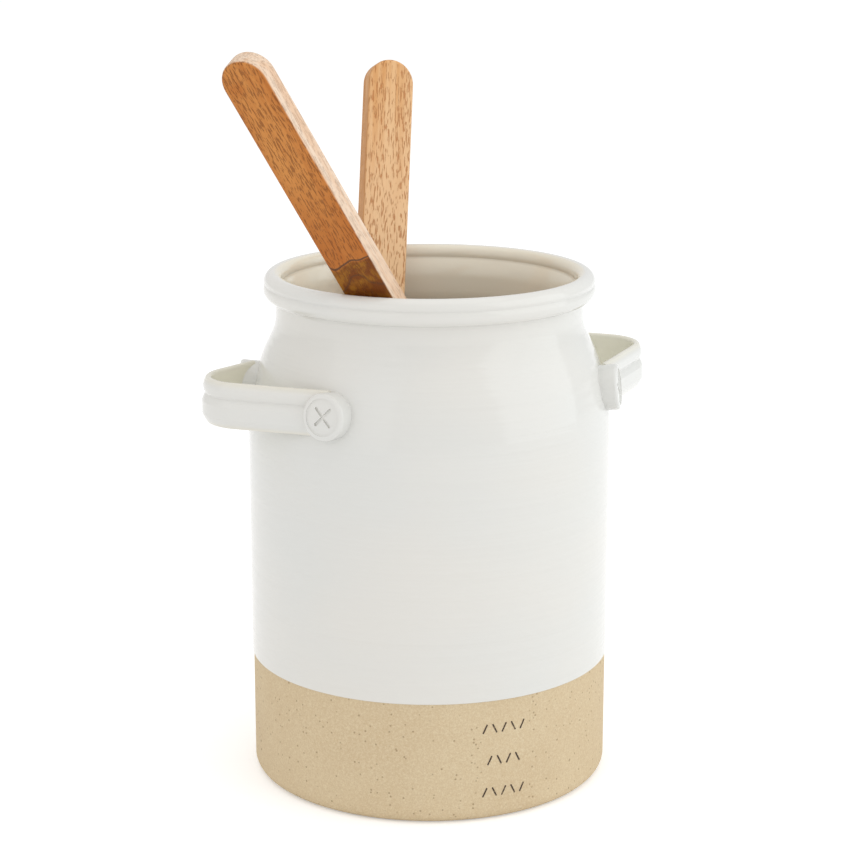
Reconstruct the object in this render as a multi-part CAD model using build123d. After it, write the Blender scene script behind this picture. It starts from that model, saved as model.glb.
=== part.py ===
from build123d import *
from math import acos, atan2, copysign, cos, hypot, radians, sin, sqrt
import os

# A stoneware utensil crock with two strap handles, and the two wooden utensils that stand in it.
# Lengths are millimetres. The crock stands on z = 0 with its axis on Z, and its handles point
# along X. Bearings are degrees from +X, anticlockwise seen from above.

# The vessel, measured over its glaze
body_radius = 64.5
wall = 5.0
floor_thickness = 6.5
base_edge_radius = 4.0
floor_corner_radius = 8.0
neck_height = 167.0
shoulder_rise = 42.0
collar_height = 15.4
neck_radius = 54.2
neck_hollow_radius = 15.0
neck_roll_radius = 12.3
lip_centre_radius = 55.0
lip_roll_radius = 3.3
lip_side_height = 0.8

# The glaze coat
coat = 0.5
glaze_line = 43.8

# The strap handles. The left one closes back to the wall sooner behind than the right one.
handle_above_shoulder = 17.5
handle_reach = 84.5
handle_nose_radius = 17.0
front_bearing = 34.0
right_back_bearing = 36.0
left_back_bearing = 21.0
strap_height = 16.0
strap_thickness = 2.4
strap_edge_radius = 1.1
band_width = 9.4
band_crown = 1.5
band_drop = 2.5
bead_width = 4.8
bead_crown = 0.7
bead_rise = 4.7

# The buttons over the strap ends
button_radius = 8.1
button_stand = 3.2
button_tilt = 6.0
button_edge_radius = 1.2
button_rim = 1.7
button_dish = 0.5
cross_length = 8.8
cross_width = 1.1
cross_depth = 0.7

# The utensils: a flat wooden handle with a round end, resting on the inside of the lip
utensil_thickness = 7.5
eased_edge = 1.1
spoon_width = 16.8
spoon_lip_gap = 0.85
spoon_bearing = -135.7
spoon_tilt = 30.5
spoon_tilt_bearing = -179.2
spoon_above_lip = 96.0
spoon_below_lip = 132.0
bowl_width = 42.5
bowl_length = 60.0
bowl_neck_radius = 26.0
dish_rim = 3.6
dish_depth = 3.2
dish_roundness = 2.4
spatula_width = 17.6
spatula_lip_gap = 0.55
spatula_bearing = 88.6
spatula_tilt = 20.1
spatula_tilt_bearing = 59.5
spatula_above_lip = 74.5
spatula_tip_height = 3.7
blade_width = 50.0
blade_shoulder_width = 42.0
blade_length = 72.0
blade_side_share = 0.75
blade_corner_radius = 9.0
blade_shoulder_radius = 14.0
blade_neck_radius = 18.0
blade_tip_thickness = 2.4

# Heights that follow from these
shoulder_height = neck_height - shoulder_rise
rim_height = neck_height + collar_height
handle_height = shoulder_height + handle_above_shoulder
lip_level = rim_height - lip_roll_radius - lip_side_height / 2
button_reach = body_radius + button_stand


def on_section(radius, height):
    """A point of the half section, in the XZ plane."""
    return Vector(radius, 0, height)


def bow(centre, start, end):
    """The short arc about a centre from one point to another."""
    middle = (start - centre + end - centre).normalized() * (start - centre).length
    return ThreePointArc(start, centre + middle, end)


def shoulder():
    """The S-curve of the shoulder: its two arc radii and the turn of each, in radians."""
    inward = body_radius - neck_radius
    rise = neck_height - shoulder_height
    turn = 2 * atan2(inward, rise)
    round_radius = rise / sin(turn) - neck_hollow_radius
    return round_radius, turn


def shoulder_edges(radius_change):
    """The shoulder from the straight wall up to the neck, moved outwards by a distance."""
    round_radius, turn = shoulder()
    low = on_section(body_radius - round_radius, shoulder_height)
    high = on_section(neck_radius + neck_hollow_radius, neck_height)
    start = low + on_section(round_radius + radius_change, 0)
    aim = on_section(cos(turn), sin(turn))
    middle = low + aim * (round_radius + radius_change)
    end = high - on_section(neck_hollow_radius - radius_change, 0)
    return [bow(low, start, middle), bow(high, middle, end)]


def lip_centres():
    """The centres of the lip's lower and upper rounds."""
    upper = on_section(lip_centre_radius, rim_height - lip_roll_radius)
    return upper - on_section(0, lip_side_height), upper


def outer_edges(start_height, depth):
    """The outside from a height up to the lip's crest, at a depth below the glazed surface."""
    lower, upper = lip_centres()
    roll = lip_roll_radius - depth
    curve = shoulder_edges(-depth)
    neck = neck_radius - depth
    crease = on_section(neck, lower.Z - sqrt(roll**2 - (lip_centre_radius - neck) ** 2))
    side = on_section(roll, 0)
    crest = upper + on_section(0, roll)
    start = on_section(body_radius - depth, start_height)
    return [
        Line(start, on_section(body_radius - depth, shoulder_height)),
        *curve,
        Line(on_section(neck, neck_height), crease),
        bow(lower, crease, lower + side),
        Line(lower + side, upper + side),
        bow(upper, upper + side, crest),
    ]


def inner_edges(depth):
    """The inside from the lip's crest down to the middle of the floor, at the same depth."""
    lower, upper = lip_centres()
    roll = lip_roll_radius - depth
    side = on_section(roll, 0)
    neck_bulge = neck_radius - wall + neck_roll_radius
    bulge_centre = on_section(neck_bulge, neck_height)
    bulge = neck_roll_radius - depth
    # The crease where the lip's roll meets the bulge of the neck
    apart = lower - bulge_centre
    along = (apart.length**2 + bulge**2 - roll**2) / (2 * apart.length)
    across = sqrt(bulge**2 - along**2)
    aim = apart.normalized()
    crease = bulge_centre + aim * along + on_section(-aim.Z, aim.X) * across
    neck = bulge_centre - on_section(bulge, 0)
    curve = shoulder_edges(depth - wall)
    wall_radius = body_radius - wall + depth
    corner = floor_corner_radius + depth
    floor = floor_thickness - depth
    corner_centre = on_section(wall_radius - corner, floor + corner)
    return [
        bow(upper, upper + on_section(0, roll), upper - side),
        Line(upper - side, lower - side),
        bow(lower, lower - side, crease),
        bow(bulge_centre, crease, neck),
        *curve,
        Line(on_section(wall_radius, shoulder_height), corner_centre + on_section(corner, 0)),
        bow(corner_centre, corner_centre + on_section(corner, 0), corner_centre - on_section(0, corner)),
        Line(corner_centre - on_section(0, corner), on_section(0, floor)),
    ]


def turned(edges):
    """A solid of revolution from the closed outline that the edges make."""
    return revolve(make_face(Wire(edges)), axis=Axis.Z)


def outside_of_clay():
    """The outside of the bare clay, from the middle of its base up to the lip's crest."""
    edge_centre = on_section(body_radius - coat - base_edge_radius, base_edge_radius)
    foot = edge_centre - on_section(0, base_edge_radius)
    side = edge_centre + on_section(base_edge_radius, 0)
    edges = [Line(on_section(0, 0), foot), bow(edge_centre, foot, side)]
    return edges + outer_edges(base_edge_radius, coat)


def make_filled_clay():
    """The clay's outer shape without its hollow, which the handles and buttons are fitted to."""
    crest = lip_centres()[1] + on_section(0, lip_roll_radius - coat)
    top = on_section(0, crest.Z)
    return turned(outside_of_clay() + [Line(crest, top), Line(top, on_section(0, 0))])


def make_body():
    """The clay vessel: a turned wall and floor, bare below the glaze line."""
    middle = on_section(0, floor_thickness - coat)
    return turned(outside_of_clay() + inner_edges(coat) + [Line(middle, on_section(0, 0))])


def make_outer_glaze():
    """The outside coat, with a round lower edge, from the glaze line to the lip's crest."""
    upper = lip_centres()[1]
    top = upper + on_section(0, lip_roll_radius)
    edge_centre = on_section(body_radius - coat, glaze_line + coat)
    edges = [bow(edge_centre, edge_centre - on_section(0, coat), edge_centre + on_section(coat, 0))]
    edges += outer_edges(glaze_line + coat, 0)
    edges.append(Line(top, top - on_section(0, coat)))
    edges += outer_edges(glaze_line, coat)
    return turned(edges)


def make_liner_glaze():
    """The inside coat, from the lip's crest down over the floor."""
    top = lip_centres()[1] + on_section(0, lip_roll_radius)
    middle = on_section(0, floor_thickness)
    edges = inner_edges(0) + inner_edges(coat)
    edges += [Line(top, top - on_section(0, coat)), Line(middle, middle - on_section(0, coat))]
    return turned(edges)


def flank(bearing):
    """One straight flank of a strap's middle line, from its foot in the wall to its knee, and
    the way out of the loop there. The crowned band is tangent to the nose's outer circle."""
    to_crown = band_crown + strap_thickness / 2
    foot = Vector(body_radius, 0).rotate(Axis.Z, bearing)
    centre = Vector(handle_reach - handle_nose_radius, 0)
    span = foot - centre
    side = copysign(1, bearing)
    turn = atan2(span.Y, span.X) - side * acos(handle_nose_radius / span.length)
    outward = Vector(cos(turn), sin(turn))
    return foot - outward * to_crown, centre + outward * (handle_nose_radius - to_crown), outward


def make_strap(start_bearing, end_bearing):
    """A strap along +X: a straight flank, the round nose and the other flank."""
    start, knee, outward = flank(start_bearing)
    end, far_knee, _ = flank(end_bearing)
    nose = Vector(handle_reach - band_crown - strap_thickness / 2, 0)
    path = Wire([Line(start, knee), ThreePointArc(knee, nose, far_knee), Line(far_knee, end)])
    plane = Plane(origin=start, x_dir=outward, z_dir=knee - start)
    return Pos(0, 0, handle_height) * sweep(plane * strap_section(), path=path)


def crown(width, height, middle):
    """A round swelling on the plate's outer face, in section."""
    face = strap_thickness / 2
    radius = (width**2 / 4 + height**2) / (2 * height)
    round_part = Pos(face + height - radius, middle) * Circle(radius)
    return round_part & Pos(face, middle) * Rectangle(strap_thickness, width)


def strap_section():
    """The strap's cross-section: a plate with a bead over a wider crowned band.
    Its x points away from the crock and its y points up."""
    plate = RectangleRounded(strap_thickness, strap_height, strap_edge_radius)
    return plate + crown(band_width, band_crown, -band_drop) + crown(bead_width, bead_crown, bead_rise)


def button_seat(bearing):
    """Where a button's face lies: on the wall at the handle's height, tilted up a little."""
    outward = Vector(button_reach, 0, handle_height).rotate(Axis.Z, bearing)
    aim = Vector(1, 0).rotate(Axis.Y, -button_tilt).rotate(Axis.Z, bearing)
    up = Vector(0, 0, 1).rotate(Axis.Y, -button_tilt).rotate(Axis.Z, bearing)
    return Plane(origin=outward, x_dir=up, z_dir=aim).location


def button_blank():
    """A button's outer shape, face up at z = 0 and long enough to reach into the wall."""
    length = button_reach - neck_radius
    blank = Pos(0, 0, -length / 2) * Cylinder(button_radius, length)
    return fillet(blank.edges().group_by(Axis.Z)[-1], button_edge_radius)


def make_button():
    """A whole button, face up at z = 0, with a raised rim and a pressed cross."""
    button = button_blank()
    dish_radius = button_radius - button_rim
    dish = Pos(0, 0, -button_dish / 2) * Cylinder(dish_radius, button_dish)
    button -= fillet(dish.edges().group_by(Axis.Z)[0], button_dish / 2)
    for turn in (45, -45):
        bar = extrude(SlotOverall(cross_length, cross_width), cross_depth)
        button -= Rot(0, 0, turn) * Pos(0, 0, -button_dish - cross_depth) * bar
    return button


def lip_plane(bearing, tilt, tilt_bearing, width, gap):
    """Where a utensil crosses the lip: local z runs up its handle, and local x lies across it,
    so that the two edges of its outer face rest on the inside of the lip."""
    up = Vector(0, 0, 1).rotate(Axis.Y, tilt).rotate(Axis.Z, tilt_bearing)
    radial = Vector(1, 0).rotate(Axis.Z, bearing)
    tangent = Vector(0, 1).rotate(Axis.Z, bearing)
    across = (tangent - up * tangent.dot(up)).normalized()
    inward = up.cross(across)
    half_span = width / 2 / sqrt(1 - tangent.dot(up) ** 2)
    half_depth = utensil_thickness / 2 / hypot(inward.X, inward.Y)
    opening = lip_centre_radius - lip_roll_radius - gap
    radius = sqrt(opening**2 - half_span**2) - half_depth
    origin = radial * radius + Vector(0, 0, lip_level)
    return Plane(origin=origin, x_dir=across, z_dir=up)


def handle_outline(width, above, below):
    """The flat handle with its half-round upper end, drawn with y along it."""
    length = above - width / 2 + below
    bar = Pos(0, length / 2 - below) * Rectangle(width, length)
    return bar + Pos(0, above - width / 2) * Circle(width / 2)


def board(outline):
    """A board of the utensils' thickness with eased edges, from an outline drawn in XZ."""
    solid = extrude(Plane.XZ * outline, utensil_thickness / 2, both=True)
    rims = solid.faces().filter_by(Axis.Y).edges()
    return fillet(rims, eased_edge)


def corners_at(outline, height):
    """The two corners of an outline at a height along it."""
    return [corner for corner in outline.vertices() if abs(corner.Y - height) < eased_edge]


def make_spoon():
    """The wooden spoon: a long handle, and an oval bowl with a shallow dish."""
    bowl_centre = bowl_length / 2 - spoon_below_lip
    outline = handle_outline(spoon_width, spoon_above_lip, -bowl_centre)
    outline += Pos(0, bowl_centre) * Ellipse(bowl_width / 2, bowl_length / 2)
    neck = bowl_centre + bowl_length / 2 * sqrt(1 - (spoon_width / bowl_width) ** 2)
    outline = fillet(corners_at(outline, neck), bowl_neck_radius)
    spoon = board(outline)
    half_dish = (bowl_width / 2 - dish_rim, dish_depth + dish_roundness, bowl_length / 2 - dish_rim)
    dish = scale(Sphere(1), half_dish)
    spoon -= Pos(0, utensil_thickness / 2 + dish_roundness, bowl_centre) * dish
    plane = lip_plane(spoon_bearing, spoon_tilt, spoon_tilt_bearing, spoon_width, spoon_lip_gap)
    return plane.location * spoon


def make_spatula():
    """The wooden spatula: a long handle, and a flat blade that thins towards its tip."""
    tip = (floor_thickness + spatula_tip_height - lip_level) / cos(radians(spatula_tilt))
    neck = tip + blade_length
    side_length = blade_length * blade_side_share
    shoulder_line = tip + side_length
    half_widths = [(blade_width / 2, tip), (blade_shoulder_width / 2, shoulder_line)]
    half_widths.append((spatula_width / 2, neck))
    corners = half_widths + [(-half, height) for half, height in reversed(half_widths)]
    outline = make_face(Polyline(*corners, close=True))
    outline += handle_outline(spatula_width, spatula_above_lip, -neck)
    outline = fillet(corners_at(outline, neck), blade_neck_radius)
    outline = fillet(corners_at(outline, shoulder_line), blade_shoulder_radius)
    outline = fillet(corners_at(outline, tip), blade_corner_radius)
    spatula = board(outline)
    face = utensil_thickness / 2
    thinned = blade_tip_thickness - face
    beyond = tip - blade_length
    slope = (face - thinned) / side_length
    wedge_points = [(face, shoulder_line), (face + blade_length, shoulder_line)]
    wedge_points += [(face + blade_length, beyond), (thinned - slope * blade_length, beyond)]
    wedge = make_face(Polyline(*wedge_points, close=True))
    spatula -= extrude(Plane.YZ * wedge, blade_width, both=True)
    seat = (spatula_bearing, spatula_tilt, spatula_tilt_bearing)
    return lip_plane(*seat, spatula_width, spatula_lip_gap).location * spatula


def make_all():
    """Every piece in its place, by node name."""
    filled_clay = make_filled_clay()
    outer_glaze = make_outer_glaze()
    button = make_button()
    blank = button_blank()
    pieces = {"stoneware_body": make_body(), "liner_glaze": make_liner_glaze()}
    handles = [("right", 0, -front_bearing, right_back_bearing)]
    handles.append(("left", 180, front_bearing, -left_back_bearing))
    for side, turn, front, back in handles:
        strap = make_strap(max(front, back), min(front, back)) - filled_clay
        for end, bearing in (("front", front), ("back", back)):
            seat = button_seat(bearing)
            strap -= seat * blank
            fitted = Rot(0, 0, turn) * (seat * button - filled_clay)
            pieces[f"{side}_{end}_button"] = fitted
            outer_glaze -= fitted
        pieces[f"{side}_handle"] = Rot(0, 0, turn) * strap
        outer_glaze -= pieces[f"{side}_handle"]
    pieces["outer_glaze"] = outer_glaze
    pieces["wooden_spoon"] = make_spoon()
    pieces["wooden_spatula"] = make_spatula()
    return pieces


os.makedirs("parts", exist_ok=True)
for name, piece in make_all().items():
    export_step(piece, f"parts/{name}.step")
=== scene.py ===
import math

import bmesh
import bpy
from mathutils import Euler, Matrix, Vector


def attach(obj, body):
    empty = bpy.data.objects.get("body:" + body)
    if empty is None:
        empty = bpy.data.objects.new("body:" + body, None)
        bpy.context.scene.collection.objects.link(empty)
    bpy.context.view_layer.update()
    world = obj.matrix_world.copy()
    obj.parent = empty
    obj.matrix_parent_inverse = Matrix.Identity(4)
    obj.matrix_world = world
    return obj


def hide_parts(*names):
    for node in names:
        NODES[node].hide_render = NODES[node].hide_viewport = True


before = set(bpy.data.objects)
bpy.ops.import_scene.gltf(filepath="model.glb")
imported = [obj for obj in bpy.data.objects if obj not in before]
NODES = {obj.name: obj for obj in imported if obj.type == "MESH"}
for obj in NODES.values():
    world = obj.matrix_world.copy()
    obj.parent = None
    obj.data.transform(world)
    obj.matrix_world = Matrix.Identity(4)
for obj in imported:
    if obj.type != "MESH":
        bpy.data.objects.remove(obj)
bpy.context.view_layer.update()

# A stoneware utensil crock with strap handles, and the wooden spoon and spatula that stand in it.
# Lengths are metres, in the crock's own frame: its base is on z = 0 and its handles point along X.
MM = 0.001

# The photograph's camera
CAMERA_DISTANCE = 793.3 * MM
CAMERA_HEIGHT = 323.5 * MM
CAMERA_BEARING = math.radians(-24.0)
CAMERA_PITCH = math.radians(14.0)
CAMERA_SIDESTEP = 1.6 * MM
LENS = 96.8
SENSOR = 36.0

# Sizes that the looks follow
CLAY_RADIUS = 64.0 * MM
GLAZE_LINE = 43.8 * MM
HANDLE_HEIGHT = 142.5 * MM
STRAP_HEIGHT = 16.0 * MM
LIP_LEVEL = 178.7 * MM

# The glaze coat's section: the same wall, shoulder and neck as the clay's, with the coat pooled in
# the creases over and under the lip, which makes the lip read as one soft roll
COAT = 0.5 * MM
COAT_RADIUS = 64.5 * MM
COAT_WALL = 5.0 * MM
SHOULDER_LEVEL = 125.0 * MM
NECK_LEVEL = 167.0 * MM
NECK_RADIUS = 54.2 * MM
NECK_HOLLOW = 15.0 * MM
NECK_BULGE = 12.3 * MM
NECK_BULGE_RISE = 3.0 * MM
ROLL = 3.3 * MM
ROLL_RADIUS = 55.0 * MM
ROLL_LEVEL = 178.75 * MM
ROLL_SIDE = 2.7 * MM
CREASE = 1.8 * MM
FLOOR_LEVEL = 6.5 * MM
FLOOR_CORNER = 8.0 * MM
TURNS = 288

# Where each utensil crosses the lip: its lean, the bearing that it leans to, and the bearing and
# radius of the crossing
SPOON_SEAT = (math.radians(30.5), math.radians(-179.2), math.radians(-135.7), 46.4 * MM)
SPATULA_SEAT = (math.radians(20.1), math.radians(59.5), math.radians(88.6), 46.7 * MM)

# Marks in the spoon's wood, and a band of painted shade at the lip, by their height above the lip
# along the spoon
KNOT_CENTRE = (-3.2 * MM, 0, 87 * MM)
KNOT_REACH = (3.4 * MM, 30 * MM, 5 * MM)
DARKER_FROM, DARKER_FULL = 62 * MM, 22 * MM
HEART_EDGE, HEART_FULL = 19.5 * MM, 17.5 * MM
HEART_END, HEART_FADES = -46 * MM, -22 * MM
LIP_SHADE_FROM, LIP_SHADE_FULL = 9 * MM, 2 * MM
LIP_SHADE_END, LIP_SHADE_FADES = -40 * MM, -10 * MM
HEART_WAVE = 15 * MM
HEART_LINES = ((19.4 * MM, 0.85), (9.5 * MM, 0.4))
LINE_EDGE, LINE_CORE = 0.75 * MM, 0.15 * MM

# Painted light: the spatula's wood is painted paler from here down to here, lifting the shade near
# the lip
PAINTED_LIGHT_FROM, PAINTED_LIGHT_FULL = 75 * MM, 5 * MM

# The stamped marks: rows of slanted strokes, like a row of stitches, on the bare clay
MARK_ROWS = (5, 4, 5)
MARK_BEARING = math.radians(-90.5)
MARK_TOP = 33.8 * MM
MARK_ROW_PITCH = 11.6 * MM
MARK_PITCH = 3.5 * MM
MARK_LENGTH = 3.6 * MM
MARK_WIDTH = 0.55 * MM
MARK_SLANT = math.radians(26)
MARK_DEPTH = 0.5 * MM
MARK_STAND = 0.06 * MM

# Colours, as linear values
GLAZE = (0.790, 0.772, 0.728)
GLAZE_COOL = (0.760, 0.762, 0.735)
GLAZE_POOLED = (0.800, 0.765, 0.660)
GLAZE_SHADED = (0.850, 0.820, 0.685)
LINER = (0.825, 0.770, 0.640)
CLAY = (0.705, 0.565, 0.365)
CLAY_PALE = (0.800, 0.680, 0.475)
CLAY_WARM = (0.620, 0.470, 0.290)
CLAY_SPECK = (0.250, 0.150, 0.075)
INK = (0.060, 0.038, 0.026)
SPOON_WOOD = (0.630, 0.232, 0.052)
SPOON_WOOD_PALE = (0.700, 0.310, 0.085)
SPOON_WOOD_DARK = (0.460, 0.135, 0.022)
# The spoon's narrow sides are painted pale as a painted highlight
SPOON_SIDE_HIGHLIGHT = (0.880, 0.690, 0.530)
# The spoon's darkest tone is the heartwood's stain, and also the painted shade at the lip
SPOON_STAIN_AND_SHADE = (0.150, 0.038, 0.003)
SPOON_OLIVE = (0.300, 0.120, 0.010)
SPOON_PORE = (0.200, 0.060, 0.012)
SPATULA_WOOD = (0.830, 0.500, 0.245)
SPATULA_WOOD_PALE = (0.880, 0.590, 0.330)
SPATULA_WOOD_DARK = (0.700, 0.340, 0.120)
# The spatula's painted light near the lip
SPATULA_PAINTED_LIGHT = (0.980, 0.660, 0.385)
SPATULA_EDGE = (0.580, 0.275, 0.100)
SPATULA_PORE = (0.520, 0.190, 0.055)
WHITE = (1.0, 1.0, 1.0)
FLOOR = (0.93, 0.93, 0.93)
COOL_LIGHT = (0.93, 0.98, 1.0)
WARM_LIGHT = (1.0, 0.96, 0.92)

# The light
LAMP_AIM = Vector((0, 0, 0.12))
WORLD_LEVEL = 0.78
FLOOR_REACH = 30.0
FLOOR_GLOW = 0.3

# How deep the wheel's rings show in each glaze
COAT_RINGS = 0.5 * MM
STRAP_RINGS = 0.3 * MM
BUTTON_RINGS = 0.1 * MM


def new_material(name):
    """A material with one Principled shader, its node tree and that shader."""
    material = bpy.data.materials.new(name)
    material.use_nodes = True
    tree = material.node_tree
    return material, tree, tree.nodes["Principled BSDF"]


def add(tree, kind, inputs=None, **settings):
    """A node with its settings, and its inputs given as values or as sockets to link."""
    node = tree.nodes.new(kind)
    for key, value in settings.items():
        setattr(node, key, value)
    for key, value in (inputs or {}).items():
        if isinstance(value, bpy.types.NodeSocket):
            tree.links.new(value, node.inputs[key])
        else:
            node.inputs[key].default_value = value
    return node


def colour(rgb):
    """A colour with full alpha, as the sockets take it."""
    return (*rgb, 1.0)


def maths(tree, operation, first, second=0.0):
    """One Math node's result."""
    return add(tree, "ShaderNodeMath", {0: first, 1: second}, operation=operation).outputs[0]


def scaled(tree, value, factor):
    return maths(tree, "MULTIPLY", value, factor)


def swung(tree, value, reach):
    """A noise value moved to lie about 0, and scaled to a reach."""
    return scaled(tree, maths(tree, "SUBTRACT", value, 0.5), reach)


def height_of(tree, place):
    return add(tree, "ShaderNodeSeparateXYZ", {"Vector": place}).outputs["Z"]


def ramp(tree, value, low, high):
    """A smooth step from 0 at low to 1 at high. Low may lie above high."""
    start, end = (0.0, 1.0) if low < high else (1.0, 0.0)
    limits = {"Value": value, "From Min": min(low, high), "From Max": max(low, high)}
    limits.update({"To Min": start, "To Max": end})
    step = add(tree, "ShaderNodeMapRange", limits, interpolation_type="SMOOTHSTEP")
    return step.outputs["Result"]


def blend_colour(tree, share, first, second):
    """A colour between two, by a share. Each may be a socket."""
    node = add(tree, "ShaderNodeMix", data_type="RGBA", clamp_factor=True)
    for index, value in ((0, share), (6, first), (7, second)):
        if isinstance(value, bpy.types.NodeSocket):
            tree.links.new(value, node.inputs[index])
        else:
            node.inputs[index].default_value = value if index == 0 else colour(value)
    return node.outputs[2]


def noise(tree, place, scale, detail=2.0, roughness=0.5, distortion=0.0):
    """A Noise Texture's value."""
    inputs = {"Vector": place, "Scale": scale, "Detail": detail}
    inputs.update({"Roughness": roughness, "Distortion": distortion})
    return add(tree, "ShaderNodeTexNoise", inputs).outputs["Fac"]


def mapped(tree, place, scale=(1, 1, 1), turn=(0, 0, 0), shift=(0, 0, 0)):
    """A place that is scaled, turned and then shifted."""
    inputs = {"Vector": place, "Scale": scale, "Rotation": turn, "Location": shift}
    return add(tree, "ShaderNodeMapping", inputs).outputs["Vector"]


def bump(tree, shader, height, distance):
    """Feeds a height to the shader's normal."""
    node = add(tree, "ShaderNodeBump", {"Height": height, "Distance": distance})
    tree.links.new(node.outputs["Normal"], shader.inputs["Normal"])


def throwing_rings_group():
    """Soft uneven rings round the pot, as fingers leave them on the wheel."""
    group = bpy.data.node_groups.new("throwing_rings", "ShaderNodeTree")
    group.interface.new_socket("Place", in_out="INPUT", socket_type="NodeSocketVector")
    group.interface.new_socket("Height", in_out="OUTPUT", socket_type="NodeSocketFloat")
    start = group.nodes.new("NodeGroupInput")
    end = group.nodes.new("NodeGroupOutput")
    broad = noise(group, mapped(group, start.outputs["Place"], (4, 4, 120)), 1.0, 2.0, 0.55)
    fine = noise(group, mapped(group, start.outputs["Place"], (9, 9, 480)), 1.0, 1.0, 0.5)
    total = maths(group, "ADD", broad, scaled(group, fine, 0.28))
    group.links.new(total, end.inputs["Height"])
    return group


def wood_grain_group():
    """Open-pored wood with its grain along the piece's own z. It gives the streaks of light and
    dark growth, the short dark pores, and a slow drift of tone."""
    group = bpy.data.node_groups.new("wood_grain", "ShaderNodeTree")
    group.interface.new_socket("Place", in_out="INPUT", socket_type="NodeSocketVector")
    for name in ("Streaks", "Pores", "Drift"):
        group.interface.new_socket(name, in_out="OUTPUT", socket_type="NodeSocketFloat")
    start = group.nodes.new("NodeGroupInput")
    end = group.nodes.new("NodeGroupOutput")
    place = start.outputs["Place"]
    # The grain wanders a little sideways along the piece
    wander = noise(group, mapped(group, place, (18, 18, 9), shift=(3, 1, 2)), 1.0, 1.0)
    offset = add(group, "ShaderNodeCombineXYZ", {"X": swung(group, wander, 9 * MM)})
    bent = add(group, "ShaderNodeVectorMath", {0: place, 1: offset.outputs["Vector"]},
               operation="ADD").outputs["Vector"]
    streaks = noise(group, mapped(group, bent, (420, 420, 17)), 1.0, 3.0, 0.6)
    group.links.new(ramp(group, streaks, 0.33, 0.67), end.inputs["Streaks"])
    # The pores are crowded in some places and rare in others
    fine = mapped(group, bent, (1800, 1800, 280), shift=(7, 0, 0))
    pores = noise(group, fine, 1.0, 2.0, 0.5, 0.2)
    crowd = noise(group, mapped(group, bent, (150, 150, 45), shift=(0, 5, 0)), 1.0, 1.0)
    crowded = maths(group, "ADD", pores, swung(group, crowd, 0.16))
    group.links.new(ramp(group, crowded, 0.53, 0.63), end.inputs["Pores"])
    drift = noise(group, mapped(group, bent, (75, 75, 14), shift=(0, 0, 4)), 1.0, 2.0)
    group.links.new(ramp(group, drift, 0.3, 0.7), end.inputs["Drift"])
    return group


def use_group(tree, group, **inputs):
    """A node that runs a group, with its inputs linked by name."""
    node = tree.nodes.new("ShaderNodeGroup")
    node.node_tree = group
    for name, socket in inputs.items():
        tree.links.new(socket, node.inputs[name])
    return node


def glaze_material(name, rings, ring_depth, pooled=None):
    """White gloss glaze over clay, with the rings of the wheel showing through. Where pooled is
    given, it takes the tree, the place and the colour, and returns the colour where it is deep."""
    material, tree, shader = new_material(name)
    place = add(tree, "ShaderNodeTexCoord").outputs["Object"]
    tone = ramp(tree, noise(tree, mapped(tree, place, (11, 11, 16)), 1.0, 2.0), 0.3, 0.7)
    base = blend_colour(tree, tone, GLAZE, GLAZE_COOL)
    if pooled:
        base = pooled(tree, place, base)
    tree.links.new(base, shader.inputs["Base Color"])
    uneven = noise(tree, mapped(tree, place, (60, 60, 60)), 1.0, 2.0)
    gloss = add(tree, "ShaderNodeMapRange", {"Value": uneven, "To Min": 0.07, "To Max": 0.16})
    tree.links.new(gloss.outputs["Result"], shader.inputs["Roughness"])
    shader.inputs["IOR"].default_value = 1.5
    # The rings die away on the lip, which is smoothed by hand
    shown = ramp(tree, height_of(tree, place), NECK_LEVEL + CREASE * 2, NECK_LEVEL - CREASE * 3)
    ringed = maths(tree, "MULTIPLY", use_group(tree, rings, Place=place).outputs["Height"], shown)
    bump(tree, shader, ringed, ring_depth)
    return material


def facing_out(tree, place):
    """How far the surface faces away from the crock's axis, from 1 to -1."""
    normal = add(tree, "ShaderNodeTexCoord").outputs["Normal"]
    level = add(tree, "ShaderNodeVectorMath", {0: place, 1: (1, 1, 0)}, operation="MULTIPLY")
    radial = add(tree, "ShaderNodeVectorMath", {0: level.outputs["Vector"]}, operation="NORMALIZE")
    facing = {0: normal, 1: radial.outputs["Vector"]}
    return add(tree, "ShaderNodeVectorMath", facing, operation="DOT_PRODUCT").outputs["Value"]


def strap_glaze(tree, place, base):
    """The strap's glaze: painted shade in a warmer, yellower tone on the face towards the crock,
    and thin at the edges.
    """
    base = blend_colour(tree, ramp(tree, facing_out(tree, place), 0.1, -0.4), base, GLAZE_SHADED)
    away = maths(tree, "ABSOLUTE", maths(tree, "SUBTRACT", height_of(tree, place), HANDLE_HEIGHT))
    edge = ramp(tree, away, STRAP_HEIGHT * 0.36, STRAP_HEIGHT * 0.5)
    return blend_colour(tree, scaled(tree, edge, 0.75), base, GLAZE_POOLED)


def inside_glaze(tree, place, base):
    """The poured coat inside, a shade warmer than the outside one."""
    inward = ramp(tree, facing_out(tree, place), 0.05, -0.5)
    # Below the outside's glaze line there is only the coat of the inner floor and wall
    low = ramp(tree, height_of(tree, place), GLAZE_LINE - COAT, GLAZE_LINE - COAT * 3)
    return blend_colour(tree, maths(tree, "MAXIMUM", inward, low), base, LINER)


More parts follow.
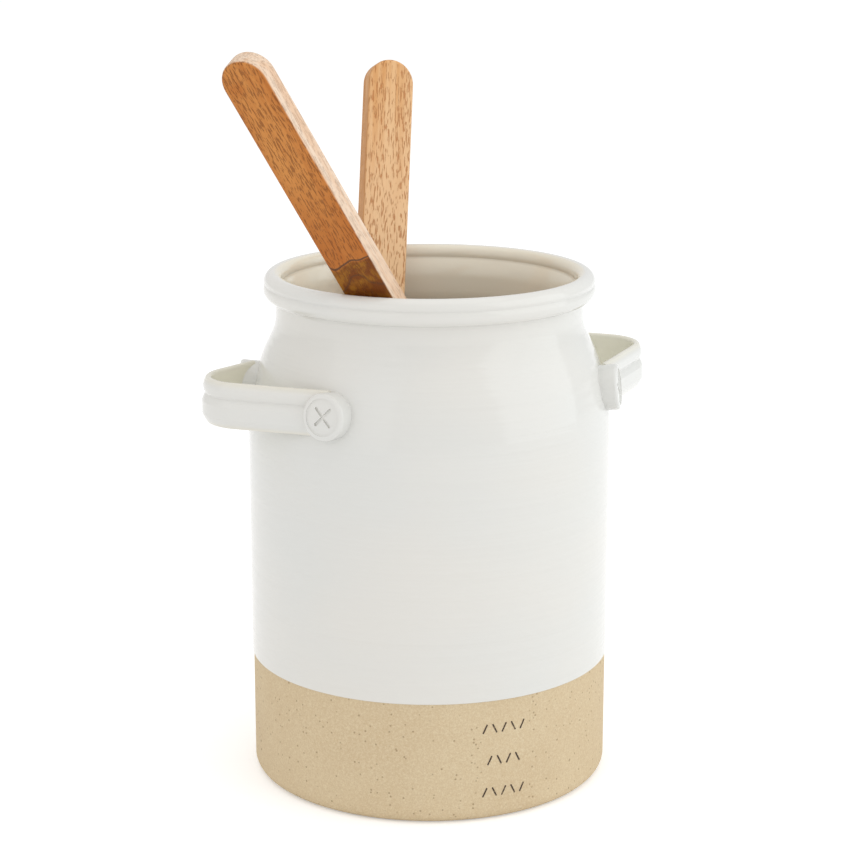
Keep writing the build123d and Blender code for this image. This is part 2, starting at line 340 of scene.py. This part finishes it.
def stoneware_material():
    """Bare fired stoneware: sandy, matt, with fine dark specks and a dry grain."""
    material, tree, shader = new_material("bare_stoneware")
    place = add(tree, "ShaderNodeTexCoord").outputs["Object"]
    broad = ramp(tree, noise(tree, place, 28.0, 3.0), 0.35, 0.65)
    base = blend_colour(tree, scaled(tree, broad, 0.45), CLAY, CLAY_WARM)
    mottle = ramp(tree, noise(tree, place, 1200.0, 3.0, 0.75), 0.38, 0.68)
    base = blend_colour(tree, scaled(tree, mottle, 0.65), base, CLAY_PALE)
    grain = ramp(tree, noise(tree, place, 2300.0, 2.0, 0.6), 0.56, 0.40)
    base = blend_colour(tree, scaled(tree, grain, 0.5), base, CLAY_WARM)
    # Fine and coarse specks: the cells' scale, the tone that marks a cell, the size and strength
    for scale, marked, size, strength in ((700.0, 0.74, 0.34, 0.55), (300.0, 0.90, 0.19, 0.85)):
        cells = add(tree, "ShaderNodeTexVoronoi", {"Vector": place, "Scale": scale})
        some = ramp(tree, cells.outputs["Color"], marked, marked + 0.02)
        near = ramp(tree, cells.outputs["Distance"], size, size * 0.45)
        speck = scaled(tree, maths(tree, "MULTIPLY", some, near), strength)
        base = blend_colour(tree, speck, base, CLAY_SPECK)
    tree.links.new(base, shader.inputs["Base Color"])
    shader.inputs["Roughness"].default_value = 0.86
    shader.inputs["Specular IOR Level"].default_value = 0.25
    dry = maths(tree, "ADD", noise(tree, place, 1500.0, 3.0, 0.7), noise(tree, place, 420.0, 2.0))
    bump(tree, shader, dry, 0.10 * MM)
    return material


def own_place(tree, lean, lean_bearing, bearing, radius):
    """Object coordinates turned into a utensil's own: x across its face, y through it, z along
    it, from where it crosses the lip. Also gives the turned normal."""
    along = Vector((0, 0, 1))
    along.rotate(Euler((0, lean, 0)))
    along.rotate(Euler((0, 0, lean_bearing)))
    tangent = Vector((-math.sin(bearing), math.cos(bearing), 0))
    across = (tangent - along * tangent.dot(along)).normalized()
    inward = along.cross(across)
    turn = Matrix((across, inward, along))
    origin = Vector((math.cos(bearing) * radius, math.sin(bearing) * radius, LIP_LEVEL))
    coordinates = add(tree, "ShaderNodeTexCoord").outputs
    angles = turn.to_euler("XYZ")
    place = mapped(tree, coordinates["Object"], turn=tuple(angles), shift=tuple(-(turn @ origin)))
    normal = mapped(tree, coordinates["Normal"], turn=tuple(angles))
    return place, normal


def wood_material(name, grain, seat, tones, edge_tone, pore_tone, pore_strength, figure_and_light):
    """Oiled hardwood: tones in streaks, dark pores, and narrow sides in a tone of their own, paler
    on the spoon as a painted highlight and darker on the spatula.
    The last argument takes and returns the colour, with the tree and the place, for this piece's
    own figure, and adds the spoon's painted shade at the lip and the spatula's painted light."""
    material, tree, shader = new_material(name)
    place, normal = own_place(tree, *seat)
    parts = use_group(tree, grain, Place=place).outputs
    middle, pale, dark = tones
    base = blend_colour(tree, parts["Streaks"], dark, middle)
    base = blend_colour(tree, scaled(tree, parts["Drift"], 0.7), base, pale)
    base = figure_and_light(tree, place, base)
    # The narrow sides take their own tone: on the spoon a painted highlight, on the spatula a
    # darker tone
    facing = add(tree, "ShaderNodeSeparateXYZ", {"Vector": normal}).outputs["Y"]
    side = ramp(tree, maths(tree, "ABSOLUTE", facing), 0.85, 0.35)
    edge = blend_colour(tree, scaled(tree, parts["Streaks"], 0.35), edge_tone, pale)
    base = blend_colour(tree, side, base, edge)
    less_on_side = add(tree, "ShaderNodeMapRange", {"Value": side, "To Min": 1.0, "To Max": 0.3})
    strength = scaled(tree, less_on_side.outputs["Result"], pore_strength)
    base = blend_colour(tree, scaled(tree, parts["Pores"], strength), base, pore_tone)
    tree.links.new(base, shader.inputs["Base Color"])
    shader.inputs["Roughness"].default_value = 0.52
    shader.inputs["Specular IOR Level"].default_value = 0.2
    sunk = maths(tree, "SUBTRACT", parts["Streaks"], scaled(tree, parts["Pores"], 2.5))
    bump(tree, shader, sunk, 0.05 * MM)
    return material


def spot(tree, place, centre, reach, fade):
    """An uneven round patch about a point of the utensil's own frame."""
    shifted = mapped(tree, place, tuple(1 / size for size in reach),
                     shift=tuple(-at / size for at, size in zip(centre, reach)))
    length = add(tree, "ShaderNodeVectorMath", {0: shifted}, operation="LENGTH").outputs["Value"]
    ragged = swung(tree, noise(tree, place, 260.0, 3.0), 1.1)
    return ramp(tree, maths(tree, "ADD", length, ragged), 1.0, 1.0 - fade)


def spoon_marks_and_shade(tree, place, base):
    """The knot near the spoon's upper end, the dark figured heartwood near the lip, and a band of
    painted shade where the spoon crosses the lip.
    """
    knot = spot(tree, place, KNOT_CENTRE, KNOT_REACH, 0.9)
    base = blend_colour(tree, scaled(tree, knot, 0.6), base, SPOON_WOOD_DARK)
    height = height_of(tree, place)
    darker = ramp(tree, height, DARKER_FROM, DARKER_FULL)
    base = blend_colour(tree, scaled(tree, darker, 0.62), base, SPOON_WOOD_DARK)
    # The heartwood starts at a wavy line, and fades out inside the crock
    level = maths(tree, "ADD", height, swung(tree, noise(tree, place, 110.0, 0.6), HEART_WAVE))
    figure = ramp(tree, noise(tree, place, 210.0, 2.0, 0.5, 0.6), 0.42, 0.62)
    stain = blend_colour(tree, figure, SPOON_STAIN_AND_SHADE, SPOON_OLIVE)
    heart = maths(tree, "MULTIPLY", ramp(tree, level, HEART_EDGE, HEART_FULL),
                  ramp(tree, level, HEART_END, HEART_FADES))
    base = blend_colour(tree, scaled(tree, heart, 0.88), base, stain)
    # Painted shade: a dark band where the spoon crosses the lip and goes into the crock's mouth
    deep = maths(tree, "MULTIPLY", ramp(tree, height, LIP_SHADE_FROM, LIP_SHADE_FULL),
                 ramp(tree, height, LIP_SHADE_END, LIP_SHADE_FADES))
    base = blend_colour(tree, scaled(tree, deep, 0.5), base, SPOON_STAIN_AND_SHADE)
    for line_level, strength in HEART_LINES:
        away = maths(tree, "ABSOLUTE", maths(tree, "SUBTRACT", level, line_level))
        line = ramp(tree, away, LINE_EDGE, LINE_CORE)
        base = blend_colour(tree, scaled(tree, line, strength), base, INK)
    return base


def spatula_painted_light(tree, place, base):
    """Painted light: the spatula's wood is painted a little paler towards the lip, lifting the
    shade there.
    """
    low = ramp(tree, height_of(tree, place), PAINTED_LIGHT_FROM, PAINTED_LIGHT_FULL)
    return blend_colour(tree, scaled(tree, low, 0.75), base, SPATULA_PAINTED_LIGHT)


def ink_material():
    """Dark brown stamping ink, thin in places."""
    material, tree, shader = new_material("stamped_ink")
    place = add(tree, "ShaderNodeTexCoord").outputs["Object"]
    worn = ramp(tree, noise(tree, place, 1400.0, 2.0), 0.55, 0.75)
    base = blend_colour(tree, scaled(tree, worn, 0.45), INK, CLAY_WARM)
    tree.links.new(base, shader.inputs["Base Color"])
    shader.inputs["Roughness"].default_value = 0.8
    return material


def stamped_row(index, count, material):
    """One row of slanted strokes, each a thin slip of ink that follows the clay's curve."""
    mesh = bmesh.new()
    pattern = bmesh.ops.create_cube(mesh, size=1.0)["verts"]
    bmesh.ops.scale(mesh, vec=(MARK_DEPTH, MARK_WIDTH, MARK_LENGTH), verts=pattern)
    through = [edge for edge in mesh.edges
               if abs(edge.verts[0].co.x - edge.verts[1].co.x) > MARK_DEPTH / 2]
    bmesh.ops.bevel(mesh, geom=through, offset=MARK_WIDTH * 0.42, segments=3,
                    profile=0.5, affect="EDGES", material=-1)
    pattern = list(mesh.verts)
    whole = pattern + list(mesh.edges) + list(mesh.faces)
    height = MARK_TOP - index * MARK_ROW_PITCH
    out = CLAY_RADIUS - MARK_DEPTH / 2 + MARK_STAND
    for number in range(count):
        copied = bmesh.ops.duplicate(mesh, geom=whole)["geom"]
        stroke = [part for part in copied if isinstance(part, bmesh.types.BMVert)]
        slant = MARK_SLANT if number % 2 else -MARK_SLANT
        bearing = MARK_BEARING + (number - (count - 1) / 2) * MARK_PITCH / CLAY_RADIUS
        place = Matrix.Rotation(bearing, 4, "Z") @ Matrix.Translation((out, 0, height))
        bmesh.ops.transform(mesh, matrix=place @ Matrix.Rotation(slant, 4, "X"), verts=stroke)
    bmesh.ops.delete(mesh, geom=pattern, context="VERTS")
    bmesh.ops.recalc_face_normals(mesh, faces=mesh.faces)
    data = bpy.data.meshes.new(f"stamped_row_{index + 1}")
    mesh.to_mesh(data)
    mesh.free()
    row = bpy.data.objects.new(data.name, data)
    bpy.context.scene.collection.objects.link(row)
    data.materials.append(material)
    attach(row, "crock")


def direction(angle):
    """A unit step in the coat's section, in the XZ plane."""
    return Vector((math.cos(angle), 0, math.sin(angle)))


def draw_line(mesh, tip, end):
    """Draws the section on from its tip to a point."""
    tip = bmesh.ops.extrude_vert_indiv(mesh, verts=[tip])["verts"][0]
    tip.co = end
    return tip


def draw_arc(mesh, tip, centre, angle):
    """Draws the section on round a centre, anticlockwise seen from the front when positive."""
    steps = max(4, round(abs(angle) / math.radians(5)))
    turned = bmesh.ops.spin(mesh, geom=[tip], cent=centre, axis=(0, -1, 0),
                            angle=angle, steps=steps)
    return next(part for part in turned["geom_last"] if isinstance(part, bmesh.types.BMVert))


def coat_section(mesh):
    """The coat's surface in section: from the glaze line up the outside, over the lip, and down
    the inside to the middle of the floor."""
    turn = 2 * math.atan2(COAT_RADIUS - NECK_RADIUS, NECK_LEVEL - SHOULDER_LEVEL)
    shoulder_round = (NECK_LEVEL - SHOULDER_LEVEL) / math.sin(turn) - NECK_HOLLOW
    shoulder = Vector((COAT_RADIUS - shoulder_round, 0, SHOULDER_LEVEL))
    hollow = Vector((NECK_RADIUS + NECK_HOLLOW, 0, NECK_LEVEL))
    roll = Vector((ROLL_RADIUS, 0, ROLL_LEVEL))
    low_roll = roll - Vector((0, 0, ROLL_SIDE))
    # Under the lip the coat fills the crease with a round hollow
    sideways = NECK_RADIUS + CREASE - ROLL_RADIUS
    drop = math.sqrt((ROLL + CREASE) ** 2 - sideways ** 2)
    crease = low_roll + Vector((sideways, 0, -drop))
    bend = math.acos(-sideways / (ROLL + CREASE))
    # Inside, the lip's roll runs into the bulge of the neck
    bulge = Vector((NECK_RADIUS - COAT_WALL + NECK_BULGE, 0, NECK_LEVEL + NECK_BULGE_RISE))
    apart = roll - bulge
    along = (apart.length_squared + NECK_BULGE ** 2 - ROLL ** 2) / (2 * apart.length)
    aim = math.atan2(apart.z, apart.x)
    meet = bulge + direction(aim + math.acos(along / NECK_BULGE)) * NECK_BULGE
    inner_turn = math.atan2(meet.z - roll.z, meet.x - roll.x) % (2 * math.pi) - math.pi / 2
    neck_turn = math.pi - (aim + math.acos(along / NECK_BULGE))

    tip = bmesh.ops.create_vert(mesh, co=(COAT_RADIUS - COAT, 0, GLAZE_LINE))["vert"][0]
    tip = draw_arc(mesh, tip, (COAT_RADIUS - COAT, 0, GLAZE_LINE + COAT), math.pi / 2)
    tip = draw_line(mesh, tip, (COAT_RADIUS, 0, SHOULDER_LEVEL))
    tip = draw_arc(mesh, tip, shoulder, turn)
    tip = draw_arc(mesh, tip, hollow, -turn)
    tip = draw_line(mesh, tip, (NECK_RADIUS, 0, crease.z))
    tip = draw_arc(mesh, tip, crease, -bend)
    tip = draw_arc(mesh, tip, low_roll, bend)
    tip = draw_line(mesh, tip, roll + Vector((ROLL, 0, 0)))
    tip = draw_arc(mesh, tip, roll, math.pi / 2)
    tip = draw_arc(mesh, tip, roll, inner_turn)
    tip = draw_arc(mesh, tip, bulge, neck_turn)
    tip = draw_line(mesh, tip, (NECK_RADIUS - COAT_WALL, 0, NECK_LEVEL))
    tip = draw_arc(mesh, tip, hollow, turn)
    tip = draw_arc(mesh, tip, shoulder, -turn)
    tip = draw_line(mesh, tip, (COAT_RADIUS - COAT_WALL, 0, FLOOR_LEVEL + FLOOR_CORNER))
    corner = (COAT_RADIUS - COAT_WALL - FLOOR_CORNER, 0, FLOOR_LEVEL + FLOOR_CORNER)
    tip = draw_arc(mesh, tip, corner, -math.pi / 2)
    draw_line(mesh, tip, (0, 0, FLOOR_LEVEL))


def make_coat(material):
    """The whole coat of glaze, turned from its section, with a thin wall towards the clay."""
    mesh = bmesh.new()
    coat_section(mesh)
    section = list(mesh.verts) + list(mesh.edges)
    bmesh.ops.spin(mesh, geom=section, cent=(0, 0, 0), axis=(0, 0, 1),
                   angle=math.tau, steps=TURNS, use_merge=True)
    bmesh.ops.remove_doubles(mesh, verts=mesh.verts, dist=COAT * 0.01)
    bmesh.ops.recalc_face_normals(mesh, faces=mesh.faces)
    # The outermost face tells whether the normals point out
    outermost = max(mesh.faces, key=lambda face: face.calc_center_median().xy.length)
    if outermost.normal.xy.dot(outermost.calc_center_median().xy) < 0:
        bmesh.ops.reverse_faces(mesh, faces=mesh.faces)
    for face in mesh.faces:
        face.smooth = True
    data = bpy.data.meshes.new("glaze_coat")
    mesh.to_mesh(data)
    mesh.free()
    coat = bpy.data.objects.new("glaze_coat", data)
    bpy.context.scene.collection.objects.link(coat)
    data.materials.append(material)
    wall = coat.modifiers.new("wall", "SOLIDIFY")
    wall.thickness = COAT * 0.6
    wall.offset = -1.0
    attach(coat, "crock")
    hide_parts("outer_glaze", "liner_glaze")


def dress(names, material):
    """Gives CAD nodes their finish."""
    for name in names:
        data = NODES[name].data
        data.materials.clear()
        data.materials.append(material)


def make_floor():
    """A pale floor out to the horizon. The camera sees it white, with the crock's soft shadow."""
    mesh = bmesh.new()
    bmesh.ops.create_circle(mesh, cap_ends=True, radius=FLOOR_REACH, segments=64)
    data = bpy.data.meshes.new("floor")
    mesh.to_mesh(data)
    mesh.free()
    floor = bpy.data.objects.new("floor", data)
    bpy.context.scene.collection.objects.link(floor)
    material, tree, shader = new_material("floor")
    shader.inputs["Base Color"].default_value = colour(FLOOR)
    shader.inputs["Roughness"].default_value = 1.0
    shader.inputs["Specular IOR Level"].default_value = 0.0
    rays = add(tree, "ShaderNodeLightPath").outputs
    seen = maths(tree, "MAXIMUM", rays["Is Camera Ray"], rays["Is Glossy Ray"])
    tree.links.new(scaled(tree, seen, FLOOR_GLOW), shader.inputs["Emission Strength"])
    shader.inputs["Emission Color"].default_value = colour(WHITE)
    data.materials.append(material)


def make_world(level):
    """Even light all round, which the camera sees as white."""
    world = bpy.data.worlds.new("studio")
    bpy.context.scene.world = world
    world.use_nodes = True
    tree = world.node_tree
    rays = add(tree, "ShaderNodeLightPath").outputs
    seen = maths(tree, "MAXIMUM", rays["Is Camera Ray"], rays["Is Transmission Ray"])
    strength = add(tree, "ShaderNodeMapRange", {"Value": seen, "To Min": level, "To Max": 1.0})
    background = tree.nodes["Background"]
    background.inputs["Color"].default_value = colour(WHITE)
    tree.links.new(strength.outputs["Result"], background.inputs["Strength"])


def make_lamp(name, place, width, height, power, tint=WHITE):
    """A soft box that faces the crock."""
    data = bpy.data.lights.new(name, "AREA")
    data.shape = "RECTANGLE"
    data.size = width
    data.size_y = height
    data.energy = power
    data.color = tint
    lamp = bpy.data.objects.new(name, data)
    bpy.context.scene.collection.objects.link(lamp)
    lamp.location = place
    lamp.rotation_euler = (LAMP_AIM - Vector(place)).to_track_quat("-Z", "Y").to_euler()


def around(bearing, distance, height):
    """A place at a bearing from the camera's side, to the camera's right when positive."""
    turn = CAMERA_BEARING - math.pi / 2 + math.radians(bearing)
    return (math.cos(turn) * distance, math.sin(turn) * distance, height)


def make_camera():
    """The photograph's viewing angle."""
    forward = Vector((-math.sin(CAMERA_BEARING), math.cos(CAMERA_BEARING), 0))
    right = Vector((math.cos(CAMERA_BEARING), math.sin(CAMERA_BEARING), 0))
    data = bpy.data.cameras.new("camera")
    data.lens = LENS
    data.sensor_width = SENSOR
    data.clip_end = 100
    camera = bpy.data.objects.new("camera", data)
    bpy.context.scene.collection.objects.link(camera)
    raised = Vector((0, 0, CAMERA_HEIGHT))
    camera.location = -forward * CAMERA_DISTANCE - right * CAMERA_SIDESTEP + raised
    camera.rotation_euler = (math.pi / 2 - CAMERA_PITCH, 0, CAMERA_BEARING)
    bpy.context.scene.camera = camera


rings = throwing_rings_group()
grain = wood_grain_group()
straps = ["left_handle", "right_handle"]
buttons = [name for name in NODES if name.endswith("button")]
spoon_tones = (SPOON_WOOD, SPOON_WOOD_PALE, SPOON_WOOD_DARK)
spatula_tones = (SPATULA_WOOD, SPATULA_WOOD_PALE, SPATULA_WOOD_DARK)

make_coat(glaze_material("glaze_coat", rings, COAT_RINGS, inside_glaze))
dress(straps, glaze_material("strap_glaze", rings, STRAP_RINGS, strap_glaze))
dress(buttons, glaze_material("button_glaze", rings, BUTTON_RINGS))
dress(["stoneware_body"], stoneware_material())
dress(["wooden_spoon"], wood_material("spoon_wood", grain, SPOON_SEAT, spoon_tones, SPOON_SIDE_HIGHLIGHT,
                                      SPOON_PORE, 0.62, spoon_marks_and_shade))
dress(["wooden_spatula"], wood_material("spatula_wood", grain, SPATULA_SEAT, spatula_tones,
                                        SPATULA_EDGE, SPATULA_PORE, 0.75, spatula_painted_light))
ink = ink_material()
for index, count in enumerate(MARK_ROWS):
    stamped_row(index, count, ink)

bpy.context.scene.view_settings.view_transform = "Standard"
make_floor()
make_world(WORLD_LEVEL)
make_lamp("right box", around(76, 1.5, 0.75), 1.9, 1.5, 8.0, COOL_LIGHT)
make_lamp("left box", around(-48, 1.8, 0.7), 1.7, 1.3, 3.0, WARM_LIGHT)
make_lamp("top", (0, 0, 1.7), 1.6, 1.6, 3.5)
make_camera()
